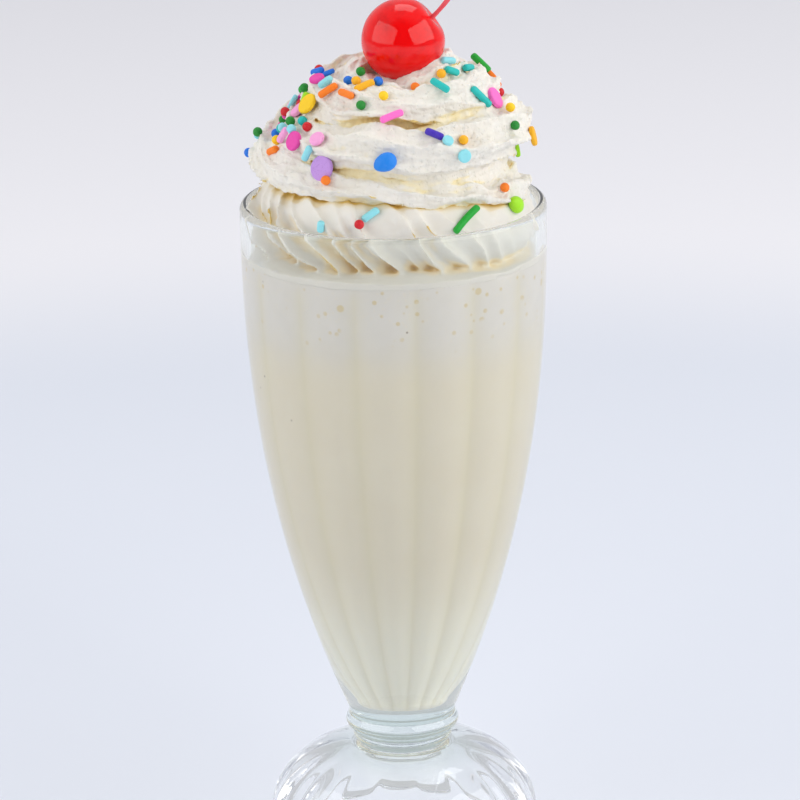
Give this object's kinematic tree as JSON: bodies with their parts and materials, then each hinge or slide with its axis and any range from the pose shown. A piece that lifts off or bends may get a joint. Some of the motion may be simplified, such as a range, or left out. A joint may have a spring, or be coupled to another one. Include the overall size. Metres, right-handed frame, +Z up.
{
  "type": "vanilla milkshake",
  "caption": "Vanilla milkshake in a footed, fluted soda glass, topped with piped whipped cream, coloured sprinkles and a cherry on its stalk.",
  "frame": {"origin": "centre of the glass's foot, on the surface that it stands on", "axes": "+Z up along the glass's axis, -Y towards the viewer, +X to the viewer's right"},
  "size_m": [0.08, 0.08, 0.2431],
  "materials": {
    "glass": "clear pressed glass, smooth and polished",
    "milkshake": "creamy, opaque, softly glossy",
    "milkshake_foam": "melted cream and foam with small bubbles",
    "whipped_cream": "soft satin cream with fine ridges, set with sugar sprinkles",
    "cherry": "wet, glossy, slightly translucent red",
    "cherry_stalk": "dyed stalk, satin"
  },
  "bodies": {
    "root": {"glass": "glass", "milkshake": "milkshake", "milkshake_foam": "milkshake_foam", "whipped_cream": "whipped_cream", "cherry": "cherry", "cherry_stalk": "cherry_stalk"}
  },
  "joints": []
}
